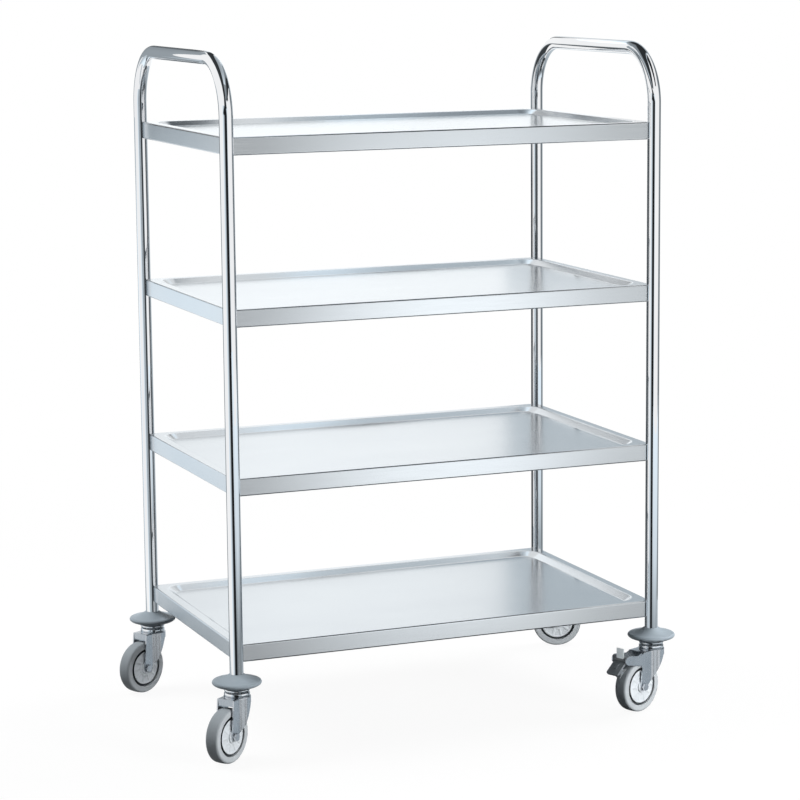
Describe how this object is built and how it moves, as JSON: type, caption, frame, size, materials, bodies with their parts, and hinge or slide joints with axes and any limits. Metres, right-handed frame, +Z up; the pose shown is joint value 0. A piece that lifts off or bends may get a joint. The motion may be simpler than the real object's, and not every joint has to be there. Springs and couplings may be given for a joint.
{
  "type": "service cart",
  "caption": "Tall tiered serving cart: pressed sheet trays between two bent-tube end frames with push bars, on swivel casters with disc bumpers and pedal brakes.",
  "frame": {"origin": "on the floor under the plan centre of the four legs", "axes": "+X along the trays from the left push bar to the right one, -Y the front long side, +Z up"},
  "size_m": [1.0228, 0.6171, 1.2649],
  "materials": {
    "polished_tube": "mirror-polished stainless steel",
    "satin_sheet": "satin stainless sheet",
    "fastener": "bright stainless",
    "bumper_rubber": "matt grey",
    "zinc_steel": "bright zinc plate",
    "bearing_steel": "polished",
    "tyre_rubber": "matt grey tread with paler sides",
    "hub_plastic": "pale grey moulded",
    "pedal_plastic": "dark grey moulded",
    "release_plastic": "light grey moulded",
    "spring_steel": "bright"
  },
  "bodies": {
    "root": {"frame_left": "polished_tube", "frame_right": "polished_tube", "shelf_bottom": "satin_sheet", "stiffeners_bottom": "satin_sheet", "shelf_lower": "satin_sheet", "stiffeners_lower": "satin_sheet", "shelf_upper": "satin_sheet", "stiffeners_upper": "satin_sheet", "shelf_top": "satin_sheet", "stiffeners_top": "satin_sheet", "shelf_bolts": "fastener", "shelf_rivet_nuts": "fastener", "leg_insert_front_left": "zinc_steel", "bumper_front_left": "bumper_rubber", "caster_stem_front_left": "zinc_steel", "leg_insert_front_right": "zinc_steel", "bumper_front_right": "bumper_rubber", "caster_stem_front_right": "zinc_steel", "leg_insert_back_left": "zinc_steel", "bumper_back_left": "bumper_rubber", "caster_stem_back_left": "zinc_steel", "leg_insert_back_right": "zinc_steel", "bumper_back_right": "bumper_rubber", "caster_stem_back_right": "zinc_steel"},
    "caster_front_left": {"race_balls_front_left": "bearing_steel", "fork_front_left": "zinc_steel", "axle_bolt_front_left": "fastener", "axle_nut_front_left": "fastener", "axle_sleeve_front_left": "zinc_steel"},
    "wheel_front_left": {"tyre_front_left": "tyre_rubber", "hub_front_left": "hub_plastic"},
    "caster_front_right": {"race_balls_front_right": "bearing_steel", "fork_front_right": "zinc_steel", "axle_bolt_front_right": "fastener", "axle_nut_front_right": "fastener", "axle_sleeve_front_right": "zinc_steel", "brake_pin_front_right": "zinc_steel"},
    "wheel_front_right": {"tyre_front_right": "tyre_rubber", "hub_front_right": "hub_plastic"},
    "pedal_front_right": {"brake_pedal_front_right": "pedal_plastic", "brake_release_front_right": "release_plastic", "brake_shoe_front_right": "spring_steel"},
    "caster_back_left": {"race_balls_back_left": "bearing_steel", "fork_back_left": "zinc_steel", "axle_bolt_back_left": "fastener", "axle_nut_back_left": "fastener", "axle_sleeve_back_left": "zinc_steel"},
    "wheel_back_left": {"tyre_back_left": "tyre_rubber", "hub_back_left": "hub_plastic"},
    "caster_back_right": {"race_balls_back_right": "bearing_steel", "fork_back_right": "zinc_steel", "axle_bolt_back_right": "fastener", "axle_nut_back_right": "fastener", "axle_sleeve_back_right": "zinc_steel", "brake_pin_back_right": "zinc_steel"},
    "wheel_back_right": {"tyre_back_right": "tyre_rubber", "hub_back_right": "hub_plastic"},
    "pedal_back_right": {"brake_pedal_back_right": "pedal_plastic", "brake_release_back_right": "release_plastic", "brake_shoe_back_right": "spring_steel"}
  },
  "joints": [
    {"name": "swivel_front_left", "type": "hinge", "parent": "root", "child": "caster_front_left", "pos_m": [-0.4175, -0.2575, 0.124], "axis": [0, 0, 1], "continuous": true},
    {"name": "spin_front_left", "type": "hinge", "parent": "caster_front_left", "child": "wheel_front_left", "pos_m": [-0.44501, -0.27748, 0.05], "axis": [0.5878, -0.809, 0], "continuous": true},
    {"name": "swivel_front_right", "type": "hinge", "parent": "root", "child": "caster_front_right", "pos_m": [0.4175, -0.2575, 0.124], "axis": [0, 0, 1], "continuous": true},
    {"name": "spin_front_right", "type": "hinge", "parent": "caster_front_right", "child": "wheel_front_right", "pos_m": [0.37949, -0.27286, 0.05], "axis": [0.3746, -0.9272, 0], "continuous": true},
    {"name": "brake_front_right", "type": "hinge", "parent": "caster_front_right", "child": "pedal_front_right", "pos_m": [0.33962, -0.28897, 0.108], "axis": [0.3746, -0.9272, 0], "range_deg": [0, 14]},
    {"name": "swivel_back_left", "type": "hinge", "parent": "root", "child": "caster_back_left", "pos_m": [-0.4175, 0.2575, 0.124], "axis": [0, 0, 1], "continuous": true},
    {"name": "spin_back_left", "type": "hinge", "parent": "caster_back_left", "child": "wheel_back_left", "pos_m": [-0.44752, 0.24154, 0.05], "axis": [0.4695, -0.8829, 0], "continuous": true},
    {"name": "swivel_back_right", "type": "hinge", "parent": "root", "child": "caster_back_right", "pos_m": [0.4175, 0.2575, 0.124], "axis": [0, 0, 1], "continuous": true},
    {"name": "spin_back_right", "type": "hinge", "parent": "caster_back_right", "child": "wheel_back_right", "pos_m": [0.45552, 0.24214, 0.05], "axis": [0.3746, 0.9272, 0], "continuous": true},
    {"name": "brake_back_right", "type": "hinge", "parent": "caster_back_right", "child": "pedal_back_right", "pos_m": [0.49538, 0.22603, 0.108], "axis": [0.3746, 0.9272, 0], "range_deg": [0, 14]}
  ]
}
